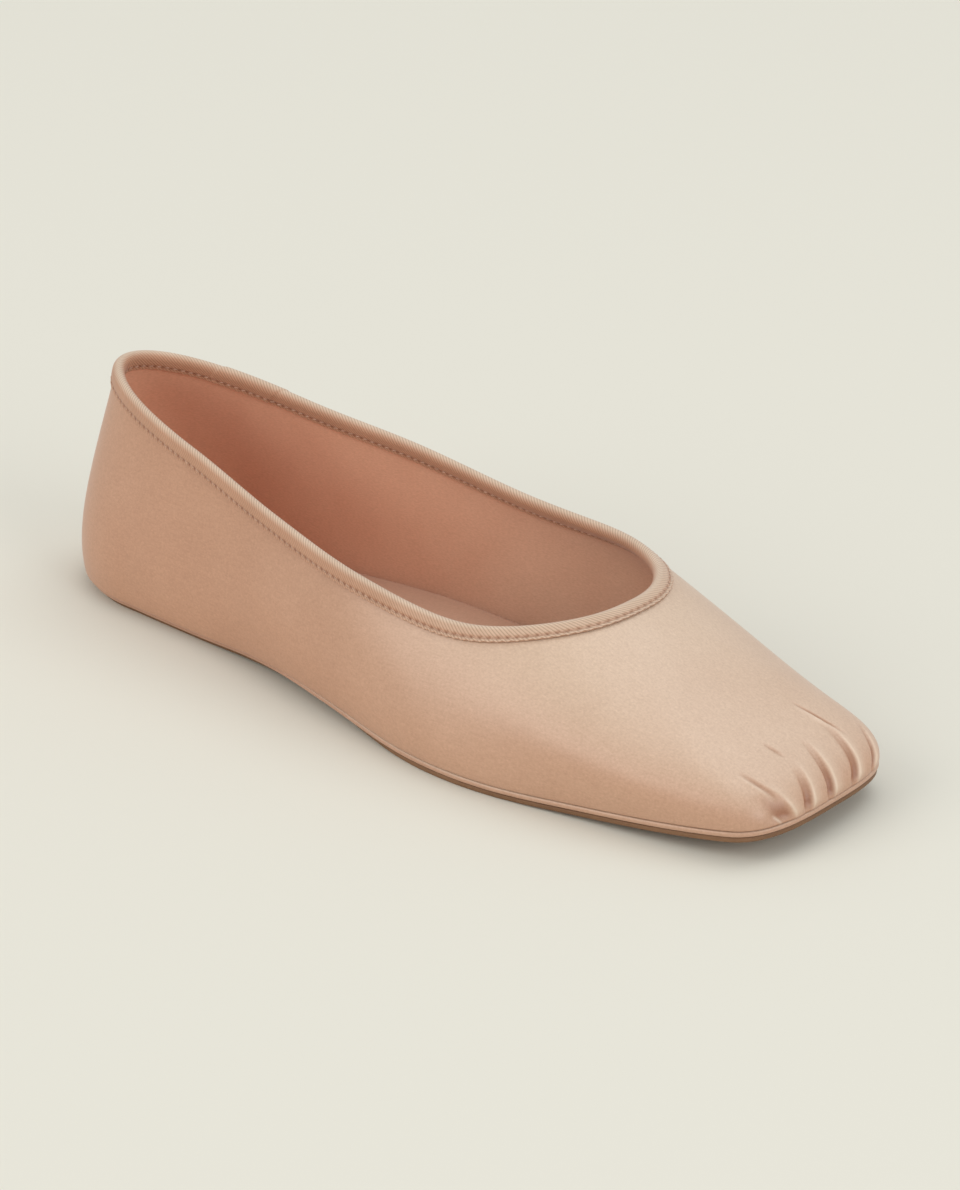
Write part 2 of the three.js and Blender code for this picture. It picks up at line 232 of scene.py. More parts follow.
def edge_rows(base, thick, edge, lower_turn, upper_turn):
    """Rows of a plate from its bottom to its top, each a height over the sole's bottom and an inset
    from the plate's outline, for the way its lower and its upper edge turn."""
    rows = []
    for turn in lower_turn:
        rows.append(dict(height=base + edge * turn["rise"], inset=edge * turn["inset"]))
    for turn in reversed(upper_turn):
        rows.append(dict(height=base + thick - edge * turn["rise"], inset=edge * turn["inset"]))
    return rows


def set_in(x, inset):
    """How far a plate stands in from the feather line, more under the heel than at the forefoot."""
    outward = soft_step(inset["start"], inset["end"], share_along(x))
    return inset["heel"] + (inset["forefoot"] - inset["heel"]) * outward


def plate_piece(name, rows, inset_at, crown=0.0):
    """A closed plate: a ring round the outline for each row, and ladders of cross lines over its
    top and bottom. inset_at gives the plate's inset from the feather line; the top is crowned."""
    half = np.linspace(0, 1, PLATE_COLUMNS + 1)
    lap = np.concatenate([half, 2 - half[-2:0:-1]])
    line = sole_on_lap(lap)
    out = plan_normal(sole_on_lap, lap)
    count = len(lap)
    points = []
    for row in rows:
        ring = line - out * (row["inset"] + inset_at(line[:, 0]))[:, None]
        ring[:, 2] = sole_lift(ring[:, 0]) + row["height"]
        points.append(ring)
    faces = []
    for r in range(len(rows) - 1):
        for i in range(count):
            j = (i + 1) % count
            faces.append([r * count + i, r * count + j, (r + 1) * count + j, (r + 1) * count + i])
    share = np.linspace(0, 1, PLATE_CROSS + 1)[1:-1, None]
    used = count * len(rows)
    for r, swell, turn in ((0, 0.0, -1), (len(rows) - 1, crown, 1)):
        ring = points[r]
        ladder = [[r * count] * (PLATE_CROSS + 1)]
        for i in range(1, PLATE_COLUMNS):
            left, right = ring[i], ring[count - i]
            rungs = left * (1 - share) + right * share
            fullness = min(1.0, np.linalg.norm(right - left) / CROWN_FULL_WIDTH) ** 2
            rungs[:, 2] = sole_lift(rungs[:, 0]) + rows[r]["height"]
            rungs[:, 2] += swell * fullness * (1 - (2 * share[:, 0] - 1) ** CROWN_POWER)
            points.append(rungs)
            inner = list(range(used, used + PLATE_CROSS - 1))
            used += PLATE_CROSS - 1
            ladder.append([r * count + i, *inner, r * count + count - i])
        ladder.append([r * count + PLATE_COLUMNS] * (PLATE_CROSS + 1))
        for low, high in zip(ladder[:-1], ladder[1:]):
            for j in range(PLATE_CROSS):
                corners = list(dict.fromkeys([low[j], high[j], high[j + 1], low[j + 1]]))
                if len(corners) > 2:
                    faces.append(corners[::turn])
    return make_piece(name, np.concatenate(points), faces)


def new_finish(name, colour, roughness, **sockets):
    """A material and its shader; what is the same all over is set on the shader's own sockets."""
    material = bpy.data.materials.new(name)
    material.use_nodes = True
    surface = material.node_tree.nodes["Principled BSDF"]
    surface.inputs["Base Color"].default_value = (*colour, 1)
    surface.inputs["Roughness"].default_value = roughness
    for socket, value in sockets.items():
        surface.inputs[socket.replace("_", " ")].default_value = value
    return material, surface


def add_node(material, kind, links=None, settings=None, **inputs):
    """A shader node with its settings, its fixed inputs and the sockets that feed it."""
    made = material.node_tree.nodes.new(kind)
    for key, value in (settings or {}).items():
        setattr(made, key, value)
    for key, value in inputs.items():
        made.inputs[key.replace("_", " ")].default_value = value
    for key, source in (links or {}).items():
        material.node_tree.links.new(source, made.inputs[key])
    return made


def lay_of(material, stretch=(1, 1, 1), turn=0.0):
    """Places on the piece in millimetres, turned and then stretched for a grain or weave."""
    lie = add_node(material, "ShaderNodeAttribute", settings=dict(attribute_name="lie"))
    turned = add_node(
        material, "ShaderNodeMapping", dict(Vector=lie.outputs["Vector"]), Rotation=(0, 0, turn),
    )
    laid = add_node(
        material, "ShaderNodeMapping", dict(Vector=turned.outputs["Vector"]), Scale=stretch,
    )
    return laid.outputs["Vector"]


def own_value(material, name):
    """A number that the mesh keeps for each of its points, or 0 where it keeps none."""
    kept = add_node(material, "ShaderNodeAttribute", settings=dict(attribute_name=name))
    return kept.outputs["Fac"]


def noise_of(material, places, scale=1.0, detail=2.0):
    """A soft random pattern on the piece; the higher its scale, the finer it is."""
    made = add_node(material, "ShaderNodeTexNoise", dict(Vector=places), Scale=scale, Detail=detail)
    return made.outputs["Fac"]


def tones_of(material, factor, low, high, stretch=NOISE_RANGE):
    """A colour that runs from low to high as factor goes over a stretch of values."""
    ramp = add_node(material, "ShaderNodeValToRGB", dict(Fac=factor))
    for stop, place, colour in zip(ramp.color_ramp.elements, stretch, (low, high)):
        stop.position = place
        stop.color = (*colour, 1)
    return ramp.outputs["Color"]


def shade_by(material, colour, factor, dark, stretch=NOISE_RANGE):
    """Darkens a colour where factor is low; dark is the share of each colour that is left."""
    settings = dict(data_type="RGBA", blend_type="MULTIPLY")
    mix = add_node(material, "ShaderNodeMix", settings=settings, Factor=1.0)
    shade = tones_of(material, factor, dark, WHITE, stretch)
    material.node_tree.links.new(colour, mix.inputs[MIX_FIRST])
    material.node_tree.links.new(shade, mix.inputs[MIX_SECOND])
    return mix.outputs[MIX_RESULT]


def spread_of(material, factor, low, high):
    """A number that runs from low to high as factor goes from 0 to 1."""
    spread = add_node(material, "ShaderNodeMapRange", dict(Value=factor), To_Min=low, To_Max=high)
    return spread.outputs["Result"]


def dress(material, surface, colour, roughness, reliefs):
    """Links a material's colour, roughness and fine reliefs; each relief is a height texture with
    its depth in millimetres and its strength."""
    links = material.node_tree.links
    links.new(colour, surface.inputs["Base Color"])
    links.new(roughness, surface.inputs["Roughness"])
    feeds = {}
    for relief in reliefs:
        feeds["Height"] = relief["height"]
        depth = relief["depth"] * MM
        bump = add_node(material, "ShaderNodeBump", feeds, Distance=depth, Strength=relief["strength"])
        feeds["Normal"] = bump.outputs["Normal"]
    links.new(feeds["Normal"], surface.inputs["Normal"])


def sole_leather():
    """Tan leather, a little cloudy, with fibres along the shoe and fine pores."""
    material, surface = new_finish(
        "sole_leather_tan", SOLE_TAN, roughness=0.55, Specular_IOR_Level=0.35,
    )
    plain = lay_of(material)
    along = lay_of(material, stretch=(0.6, 2.5, 2.5))
    cloud = noise_of(material, plain, scale=0.06, detail=4.0)
    fibre = noise_of(material, along, detail=3.0)
    pores = noise_of(material, plain, scale=2.2)
    colour = tones_of(material, cloud, SOLE_TAN, SOLE_LIGHT)
    colour = shade_by(material, colour, fibre, dark=(0.82, 0.80, 0.78))
    dress(material, surface, colour, spread_of(material, cloud, low=0.48, high=0.66), [
        dict(height=fibre, depth=0.04, strength=0.4),
        dict(height=pores, depth=0.03, strength=0.35),
    ])
    return material


outsole_rows = edge_rows(0.0, OUTSOLE_THICK, OUTSOLE_EDGE, OUTSOLE_LOWER_TURN, OUTSOLE_UPPER_TURN)
outsole = plate_piece("outsole_leather", outsole_rows, lambda x: set_in(x, OUTSOLE_INSET))
outsole.data.materials.append(sole_leather())
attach(outsole, "root")
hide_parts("outsole")

# Covered midsole: a board wrapped in the satin of the upper and cemented between upper and
# outsole. A thin strip of it with a rounded edge shows from the waist to the toe; under the heel
# it is drawn back.
MIDSOLE_GAP = 0.15
MIDSOLE_BASE = OUTSOLE_THICK + MIDSOLE_GAP
MIDSOLE_THICK = 1.4
MIDSOLE_INSET = dict(heel=1.1, forefoot=0.0, start=0.30, end=0.50)
MIDSOLE_EDGE = 0.45
ROUND_TURN = [
    dict(rise=0.0, inset=1.0),
    dict(rise=0.3, inset=0.3),
    dict(rise=1.0, inset=0.0),
]
# The first colour is the covered edge's where it stands upright; the second is painted sheen where
# satin faces up, the third a painted highlight on the crests of the pleats.
SATIN_EDGE = (0.630, 0.360, 0.238)
SATIN_PAINTED_SHEEN = (0.860, 0.702, 0.542)
SATIN_PAINTED_HIGHLIGHT = (0.880, 0.720, 0.560)


def shade_marked(material, colour, mark, dark):
    """Darkens a colour as far as the piece marks its points from 0 to 1."""
    unmarked = spread_of(material, own_value(material, mark), low=1.0, high=0.0)
    return shade_by(material, colour, unmarked, dark, stretch=(0.0, 1.0))


def tint_marked(material, colour, mark, tint, most):
    """Turns a colour toward a tint as far as the piece marks its points, up to a share of most."""
    share = spread_of(material, own_value(material, mark), low=0.0, high=most)
    mix = add_node(material, "ShaderNodeMix", dict(Factor=share), settings=dict(data_type="RGBA"))
    material.node_tree.links.new(colour, mix.inputs[MIX_FIRST])
    mix.inputs[MIX_SECOND].default_value = (*tint, 1)
    return mix.outputs[MIX_RESULT]


def satin_cloth(name, upright):
    """Nude satin, upright its colour where it stands upright and painted paler as sheen where it faces
    up: threads along the shoe, a soft gloss and a faint cloudiness. Painted shade darkens marked folds
    and a painted highlight pales marked crests."""
    material, surface = new_finish(
        name, upright, roughness=0.4, Specular_IOR_Level=0.7, Sheen_Weight=0.18, Sheen_Roughness=0.3,
    )
    plain = lay_of(material)
    long_lay = lay_of(material, stretch=(0.12, 1.5, 1.5))
    thread_lay = lay_of(material, stretch=(0.8, 5.0, 5.0))
    cloud = noise_of(material, plain, scale=0.03, detail=3.0)
    slubs = noise_of(material, long_lay)
    threads = noise_of(material, thread_lay, detail=3.0)
    grain = noise_of(material, plain, scale=1.5)
    painted_sheen = own_value(material, "painted_light")
    # Painted sheen: paler where the cloth faces up and toward the front.
    colour = tones_of(material, painted_sheen, upright, SATIN_PAINTED_SHEEN, stretch=(0.04, 1.14))
    colour = shade_by(material, colour, cloud, dark=(0.93, 0.90, 0.88))
    colour = shade_by(material, colour, slubs, dark=(0.95, 0.94, 0.93))
    colour = shade_by(material, colour, threads, dark=(0.90, 0.88, 0.87))
    colour = shade_by(material, colour, grain, dark=(0.90, 0.88, 0.86))
    # Painted shade in the pleats' hollows and along the foot; painted highlight on their crests.
    colour = shade_marked(material, colour, "painted_shade", dark=(0.60, 0.41, 0.31))
    colour = tint_marked(material, colour, "crest", SATIN_PAINTED_HIGHLIGHT, most=0.75)
    dress(material, surface, colour, spread_of(material, cloud, low=0.36, high=0.44), [
        dict(height=slubs, depth=0.06, strength=0.3),
        dict(height=threads, depth=0.04, strength=0.35),
        dict(height=grain, depth=0.02, strength=0.3),
    ])
    return material


midsole_rows = edge_rows(MIDSOLE_BASE, MIDSOLE_THICK, MIDSOLE_EDGE, ROUND_TURN, ROUND_TURN)
midsole = plate_piece("midsole_cover", midsole_rows, lambda x: set_in(x, MIDSOLE_INSET))
midsole.data.materials.append(satin_cloth("covered_edge_satin", SATIN_EDGE))
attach(midsole, "root")
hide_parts("covered_midsole")

# Insole: a thin foam sock covered in pale cloth, laid inside the upper on the board. Its top is
# a little crowned and its edge turns down against the lining.
WALL_THICK = 1.6
FEATHER_BASE = 3.0
INSOLE_GAP = 0.3
INSOLE_INSET = WALL_THICK + INSOLE_GAP
INSOLE_THICK = 2.0
INSOLE_EDGE = 0.8
INSOLE_CROWN = 0.5
SQUARE_TURN = [dict(rise=0.0, inset=0.0)]
WEAVE_TURN = math.radians(35)
SOCK_DARK = (0.640, 0.385, 0.262)
SOCK_LIGHT = (0.700, 0.440, 0.308)


def sock_cloth():
    """Matt cloth with a fine slanting weave."""
    material, surface = new_finish(
        "insole_cloth", SOCK_DARK, roughness=0.7, Specular_IOR_Level=0.25, Sheen_Weight=0.2,
        Sheen_Roughness=0.5,
    )
    slanting = lay_of(material, stretch=(3.0, 1.2, 1.0), turn=WEAVE_TURN)
    cloud = noise_of(material, lay_of(material), scale=0.04, detail=3.0)
    weave = noise_of(material, slanting)
    colour = tones_of(material, cloud, SOCK_DARK, SOCK_LIGHT)
    colour = shade_by(material, colour, weave, dark=(0.88, 0.86, 0.85))
    dress(material, surface, colour, spread_of(material, cloud, low=0.64, high=0.78), [
        dict(height=weave, depth=0.05, strength=0.4),
    ])
    return material


insole_rows = edge_rows(FEATHER_BASE, INSOLE_THICK, INSOLE_EDGE, SQUARE_TURN, ROUND_TURN)
insole = plate_piece(
    "insole_sock", insole_rows, lambda x: np.full_like(x, INSOLE_INSET), INSOLE_CROWN,
)
insole.data.materials.append(sock_cloth())
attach(insole, "root")
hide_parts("insole")

# Satin of the upper: one piece of nude satin with its stiffening, lasted over the form without
# seams. Its surplus at the square toe is gathered into pleats that are tucked under at the
# feather line.
BACK_HEIGHT = 59.9
THROAT_HEIGHT = 40.9
RIM_BACK = -117.9
RIM_THROAT = 58.6
# The dips are millimetres below the straight line from the back of the rim to the throat.
RIM_SECTIONS = [
    dict(at=0.00, lateral=0.238, medial=0.244, lateral_dip=0.0, medial_dip=0.0),
    dict(at=0.25, lateral=0.274, medial=0.289, lateral_dip=3.2, medial_dip=3.1),
    dict(at=0.45, lateral=0.333, medial=0.37, lateral_dip=7.1, medial_dip=4.5),
    dict(at=0.65, lateral=0.399, medial=0.41, lateral_dip=7.7, medial_dip=5.9),
    dict(at=0.85, lateral=0.379, medial=0.4, lateral_dip=7.0, medial_dip=3.0),
    dict(at=1.00, lateral=0.337, medial=0.354, lateral_dip=0.0, medial_dip=0.0),
]
RIM_ENDS = dict(back_share=0.26, back_power=2.0, front_share=0.218, front_power=2.5)
# A wall line leaves the feather line at a lean from upright, over a length of root, and comes to
# the rim at a pitch from level, over a length of reach; rim is the share of the rim it comes to.
WALL_LINES = [
    dict(at=0.00, rim=0.00, lean=13.0, root=16.0, pitch=76.0, reach=17.5),
    dict(at=0.13, rim=0.10, lean=13.5, root=16.5, pitch=78.0, reach=17.5),
    dict(at=0.36, rim=0.38, lean=16.0, root=12.0, pitch=78.0, reach=14.0),
    dict(at=0.55, rim=0.62, lean=18.0, root=10.0, pitch=66.0, reach=12.0),
    dict(at=0.70, rim=0.80, lean=16.0, root=9.5, pitch=43.0, reach=22.0),
    dict(at=0.84, rim=0.92, lean=10.5, root=12.0, pitch=30.5, reach=42.0),
    dict(at=1.00, rim=1.00, lean=4.0, root=12.0, pitch=25.0, reach=50.0),
]
LINE_STEPS = 80
SATIN_SIDE = (0.630, 0.352, 0.224)
SATIN_THICK = 1.35
# The columns of a zone end at a share of each side; they are closest at the pleats of the toe.
SATIN_ZONES = [
    dict(end=0.12, columns=44),
    dict(end=0.75, columns=110),
    dict(end=0.86, columns=40),
    dict(end=1.00, columns=150),
]
SATIN_ROWS = 104
SATIN_ROW_POWER = 1.25
SATIN_BACK_ROWS = 12
EDGE_DEPTH = 0.9
# The foot of the satin turns in to the feather line, less at the toe front than at the sides, and
# a line of painted shade shows where it goes under.
TUCK_RADIUS = 0.7
TUCK_SHARE = 0.6
TUCK_TOE = 0.15
TUCK_STRETCH = (16.0, 34.0)
SEAM_LINE = 0.5
SEAM_SHADE = 0.8
# A pleat is a crest that leans from root, at the feather line, through belly, halfway up, to head
# at its top. These are places along the feather line from the toe front, inner side positive.
# The crest, as high as ridge, eases away on its inner side. On its outer side it drops over flank
# to a valley as deep as hollow, at reach from it. The valley ends at sink, a share of the pleat's
# height, and far is how soon the cloth beyond it is level again.
TOE_PLEATS = [
    dict(root=-14.2, belly=-17.0, head=-21.0, top=12.5, sink=0.74,
         ridge=0.50, ease=2.4, flank=0.9, hollow=1.25, reach=4.2, far=3.4),
    dict(root=-8.1, belly=-7.1, head=-5.6, top=14.5, sink=0.84,
         ridge=0.55, ease=2.8, flank=0.8, hollow=1.25, reach=2.6, far=0.8),
    dict(root=0.5, belly=2.1, head=4.8, top=17.5, sink=1.0,
         ridge=0.55, ease=3.0, flank=0.8, hollow=1.25, reach=2.3, far=0.6),
    dict(root=9.9, belly=13.9, head=17.2, top=19.0, sink=1.0,
         ridge=0.50, ease=2.4, flank=0.8, hollow=0.90, reach=2.1, far=1.0),
    dict(root=18.6, belly=22.6, head=27.0, top=12.0, sink=1.0,
         ridge=0.40, ease=2.4, flank=0.6, hollow=1.00, reach=1.5, far=0.7),
]
# A crease is a narrow line in the cloth from start to end up the wall; a negative depth is a lip.
TOE_CREASES = [
    dict(root=17.0, head=16.1, start=12.0, end=28.0, width=0.50, depth=0.60),
    dict(root=15.9, head=15.0, start=12.0, end=27.0, width=0.80, depth=-0.25),
    dict(root=-18.5, head=-24.0, start=5.5, end=16.5, width=0.65, depth=0.40),
    dict(root=-19.6, head=-25.0, start=5.5, end=16.0, width=0.80, depth=-0.18),
    dict(root=-8.2, head=-10.4, start=15.5, end=22.0, width=0.55, depth=0.32),
    dict(root=-19.0, head=-21.3, start=0.0, end=2.8, width=0.45, depth=-0.45),
]
# A pleat starts at a share of its height, is full at PLEAT_GROW up the wall and fades to its top.
PLEAT_FOOT = 0.15
PLEAT_GROW = 2.4
PLEAT_FADE = 1.5
PLEAT_DEEPEST = 1.25
HOLLOW_SHARE = 0.75
LIP_HEIGHT = 0.10
LIP_WIDTH = 0.45
# The painted shade over a pleat's outer flank is full just past its valley and ends between two shares
# of its reach.
SHADE_FULL = 0.1
SHADE_START = 0.5
SHADE_END = 0.1
# A share of a crest's painted highlight lies on its lip, the rest over its inner side; a crease takes
# its full painted shade, or a lip its full painted highlight, at this depth.
CREST_LINE = 0.5
CREASE_FULL = 0.5
# Soft dents where the satin gives over the stiffening: places along the feather line from the toe
# front and up the wall, half sizes along and up, and depth; a negative depth is a soft swell.
SATIN_DENTS = [
    dict(along=-262.0, up=30.0, length=14.0, height=16.0, depth=0.22),
    dict(along=-238.0, up=22.0, length=16.0, height=14.0, depth=-0.18),
    dict(along=-212.0, up=26.0, length=15.0, height=12.0, depth=0.20),
    dict(along=-178.0, up=16.0, length=20.0, height=10.0, depth=-0.16),
    dict(along=-140.0, up=18.0, length=22.0, height=9.0, depth=0.18),
    dict(along=-96.0, up=20.0, length=20.0, height=12.0, depth=-0.16),
    dict(along=-58.0, up=14.0, length=14.0, height=10.0, depth=0.16),
    dict(along=62.0, up=16.0, length=16.0, height=10.0, depth=0.18),
    dict(along=110.0, up=18.0, length=22.0, height=10.0, depth=-0.16),
    dict(along=165.0, up=22.0, length=22.0, height=12.0, depth=0.20),
    dict(along=214.0, up=26.0, length=16.0, height=14.0, depth=-0.18),
    dict(along=250.0, up=30.0, length=14.0, height=16.0, depth=0.22),
]


def rim_outline(side, share):
    """Top line of the upper on one side, from the back to the throat."""
    sign = -1 if side == "lateral" else 1
    half = BALL_WIDTH * read_column(RIM_SECTIONS, side, share)
    dip = read_column(RIM_SECTIONS, side + "_dip", share)
    x = RIM_BACK + (RIM_THROAT - RIM_BACK) * share
    z = BACK_HEIGHT + (THROAT_HEIGHT - BACK_HEIGHT) * share - dip
    return np.stack([x, sign * half * end_rounding(share, RIM_ENDS), z], -1)


RIM_HALVES = {side: half_curve(rim_outline, side) for side in SIDES}


def rim_on_lap(lap):
    """Points of the rim at the tops of the wall lines of the lap."""
    outer, share = lap_place(lap)
    return on_halves(RIM_HALVES, outer, read_column(WALL_LINES, "rim", share))


def on_lines(corners, share):
    """Points and upward directions at shares of the curved lines."""
    a, b, c, d = (corners[:, k, None, :] for k in range(4))
    t = share[:, :, None]
    points = a * (1 - t) ** 3 + 3 * b * t * (1 - t) ** 2 + 3 * c * t * t * (1 - t) + d * t ** 3
    return points, unit((b - a) * (1 - t) ** 2 + 2 * (c - b) * t * (1 - t) + (d - c) * t * t)


LINE_SHARES = np.linspace(0, 1, LINE_STEPS + 1)


def wall_lines(lap):
    """Corners of the curved lines of the wall from feather line to rim, and lengths along them."""
    _, share = lap_place(lap)
    lean, pitch, root, reach = (
        read_column(WALL_LINES, column, share, level_ends=True)[:, None]
        for column in ("lean", "pitch", "root", "reach")
    )
    lean = np.radians(lean)
    pitch = np.radians(pitch)
    up = np.array([0.0, 0.0, 1.0])
    foot = sole_on_lap(lap) + FEATHER_BASE * up
    top = rim_on_lap(lap)
    low = foot + root * (plan_normal(sole_on_lap, lap) * np.sin(lean) + up * np.cos(lean))
    high = top + reach * (plan_normal(rim_on_lap, lap) * np.cos(pitch) - up * np.sin(pitch))
    corners = np.stack([foot, low, high, top], 1)
    points, _ = on_lines(corners, LINE_SHARES[None, :])
    step = np.linalg.norm(np.diff(points, axis=1), axis=2)
    return corners, np.concatenate([np.zeros((len(lap), 1)), np.cumsum(step, axis=1)], axis=1)


def wall_points(lap, height):
    """Points and upward directions of the wall's outer face, at heights up each line."""
    corners, distance = wall_lines(lap)
    share = np.stack([np.interp(h, d, LINE_SHARES) for h, d in zip(height, distance)])
    return on_lines(corners, share)


def wall_frame(lap, height):
    """Points, outward normals and upward directions of the wall's outer face."""
    points, up = wall_points(lap, height)
    around = wall_points(lap + NUDGE, height)[0] - wall_points(lap - NUDGE, height)[0]
    return points, unit(np.cross(around, up)), up


def zoned_laps(zones):
    """Columns round the whole shoe from a table of zones of one half; each zone has its own count."""
    half = [0.0]
    for zone in zones:
        half.extend(np.linspace(half[-1], zone["end"], zone["columns"] + 1)[1:])
    return np.array(half + [2 - share for share in half[-2:0:-1]])


def ring_faces(count, columns):
    """Quads between rings that follow the lap, the last ring joined to the first."""
    r, i = np.meshgrid(np.arange(count), np.arange(columns), indexing="ij")
    up, on = (r + 1) % count, (i + 1) % columns
    corners = [r * columns + i, r * columns + on, up * columns + on, up * columns + i]
    return np.stack(corners, -1).reshape(-1, 4).tolist()


def skin_piece(name, lap, heights, lifts):
    """A closed skin of the wall. heights and lifts hold first its outer and then its inner face,
    as millimetres up the wall and millimetres off the last."""
    faces = []
    for height, lift in zip(heights, lifts):
        points, normal, _ = wall_frame(lap, height)
        faces.append(points + normal * lift[:, :, None])
    rings = np.concatenate([faces[0], faces[1][:, ::-1]], axis=1).transpose(1, 0, 2)
    return make_piece(name, rings.reshape(-1, 3), ring_faces(*rings.shape[:2]))


def toe_relief(across, up):
    """Height of the gathered toe over the smooth last in millimetres, and from 0 to 1 how much
    painted shade a place takes in the pleats' hollows and how much painted highlight on their crests."""
    relief = np.zeros_like(up)
    shade = np.zeros_like(up)
    crest = np.zeros_like(up)
    grow = PLEAT_FOOT + (1 - PLEAT_FOOT) * soft_step(0, PLEAT_GROW, up)
    for pleat in TOE_PLEATS:
        along = np.clip(up / pleat["top"], 0, 1)
        lean = pleat["head"] - pleat["root"]
        bow = 4 * (pleat["belly"] - pleat["root"] - lean / 2)
        off = across - pleat["root"] - lean * along - bow * along * (1 - along)
        fade = grow * (1 - along ** 2) ** PLEAT_FADE
        sunk = grow * (1 - np.clip(along / pleat["sink"], 0, 1) ** 2) ** PLEAT_FADE
        reach = pleat["reach"]
        beyond = off + reach
        ridge = np.exp(-(off / np.where(off > 0, pleat["ease"], pleat["flank"])) ** 2)
        hollow = np.exp(-(beyond / np.where(beyond > 0, HOLLOW_SHARE * reach, pleat["far"])) ** 2)
        lip = np.exp(-(off / LIP_WIDTH) ** 2)
        relief += (pleat["ridge"] * ridge + LIP_HEIGHT * lip) * fade
        relief -= pleat["hollow"] * hollow * sunk
        # Painted shade over the outer flank down to the valley; painted highlight on the lip and the
        # crest's inner side.
        dark = soft_step(-pleat["far"], SHADE_FULL, beyond)
        dark *= 1 - soft_step(-SHADE_START * reach, -SHADE_END * reach, off)
        shade = np.maximum(shade, dark * sunk)
        panel = np.where(off > 0, ridge, lip)
        crest = np.maximum(crest, fade * (CREST_LINE * lip + (1 - CREST_LINE) * panel))
    for crease in TOE_CREASES:
        along = np.clip((up - crease["start"]) / (crease["end"] - crease["start"]), 0, 1)
        off = across - crease["root"] - (crease["head"] - crease["root"]) * along
        line = 4 * along * (1 - along) * np.exp(-(off / crease["width"]) ** 2)
        relief -= crease["depth"] * line
        # A crease is painted in shade, a lip in highlight.
        shade = np.maximum(shade, line * np.clip(crease["depth"] / CREASE_FULL, 0, 1))
        crest = np.maximum(crest, line * np.clip(-crease["depth"] / CREASE_FULL, 0, 1))
    return np.maximum(relief, -PLEAT_DEEPEST), shade, crest


def dent_relief(across, up):
    """Height of the soft dents and swells over the smooth last, in millimetres."""
    relief = np.zeros_like(up)
    for dent in SATIN_DENTS:
        along = (across - dent["along"]) / dent["length"]
        rise = (up - dent["up"]) / dent["height"]
        relief -= dent["depth"] * np.exp(-along ** 2 - rise ** 2)
    return relief


def from_toe(lap):
    """Distance along the feather line from the toe front, inner side positive."""
    outer, share = lap_place(lap)
    lateral, medial = (SOLE_HALVES[side][1][-1] for side in SIDES)
    return (1 - share) * np.where(outer, -lateral, medial)


def keep_value(piece, name, amount):
    """Keeps a number at each point of a piece, for its material."""
    kept = piece.data.attributes.new(name, "FLOAT", "POINT")
    kept.data.foreach_set("value", amount.astype(np.float32).ravel())


def rows_up(lap, rows, power=1.0):
    """Heights of rows up the wall to just under the rim, closer at the foot with a higher power."""
    top = wall_lines(lap)[1][:, -1:] - EDGE_DEPTH
    return top * np.linspace(0, 1, rows + 1)[None, :] ** power


satin_lap = zoned_laps(SATIN_ZONES)
satin_across = from_toe(satin_lap)[:, None]
satin_height = rows_up(satin_lap, SATIN_ROWS, SATIN_ROW_POWER)
satin_back = rows_up(satin_lap, SATIN_BACK_ROWS)
tuck = np.clip(TUCK_RADIUS - satin_height, 0, TUCK_RADIUS)
tuck_share = TUCK_TOE + (TUCK_SHARE - TUCK_TOE) * soft_step(*TUCK_STRETCH, np.abs(satin_across))
tuck_in = tuck_share * (TUCK_RADIUS - np.sqrt(TUCK_RADIUS ** 2 - tuck ** 2))
satin_folds, satin_shade, satin_painted_highlight = toe_relief(satin_across, satin_height)
satin_dents = dent_relief(satin_across, satin_height)
satin = skin_piece(
    "upper_satin", satin_lap, (satin_height, satin_back),
    (satin_folds + satin_dents - tuck_in, np.full_like(satin_back, -SATIN_THICK)),
)
# Painted shade along the foot, where the satin goes under.
satin_shade = np.maximum(satin_shade, SEAM_SHADE * (1 - soft_step(0, SEAM_LINE, satin_height)))
for mark, amount in (("painted_shade", satin_shade), ("crest", satin_painted_highlight)):
    keep_value(satin, mark, np.concatenate([amount, np.zeros_like(satin_back)], axis=1).T)
satin.data.materials.append(satin_cloth("upper_satin_nude", SATIN_SIDE))
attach(satin, "root")
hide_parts("upper")

# Lining: matt cloth glued to the back of the satin and its stiffening, from the rim down behind
# the edge of the insole. It makes the inner face of the wall.
LINING_ZONES = [
    dict(end=0.12, columns=34),
    dict(end=0.86, columns=120),
    dict(end=1.00, columns=56),
]
LINING_ROWS = 40
LINING_BACK = 1.4
# The lining is painted brighter and rosier toward the heel, as painted bounce light inside the heel.
LINING_HEEL_PAINTED_BOUNCE = (0.840, 0.475, 0.310)
LINING_FRONT = (0.680, 0.452, 0.318)


def lining_cloth():
    """Matt cloth with painted bounce light, brighter and rosier toward the heel, an upright weave and
    a little fluff.
    """
    material, surface = new_finish(
        "lining_cloth", LINING_FRONT, roughness=0.75, Specular_IOR_Level=0.2, Sheen_Weight=0.25,
        Sheen_Roughness=0.6,
    )
    plain = lay_of(material)
    weave_lay = lay_of(material, stretch=(1.1, 1.1, 3.2))
    cloud = noise_of(material, plain, scale=0.035, detail=3.0)
    weave = noise_of(material, weave_lay)
    fluff = noise_of(material, plain, scale=1.6)
    # Painted bounce light: the heel colour gives way to the front colour as the painted-light share
    # rises toward the front.
    forward = own_value(material, "painted_light")
    colour = tones_of(material, forward, LINING_HEEL_PAINTED_BOUNCE, LINING_FRONT, stretch=(0.0, FRONT_PALE))
    colour = shade_by(material, colour, cloud, dark=(0.92, 0.85, 0.82))
    colour = shade_by(material, colour, weave, dark=(0.88, 0.85, 0.84))
    dress(material, surface, colour, spread_of(material, cloud, low=0.7, high=0.82), [
        dict(height=weave, depth=0.05, strength=0.4),
        dict(height=fluff, depth=0.03, strength=0.3),
    ])
    return material


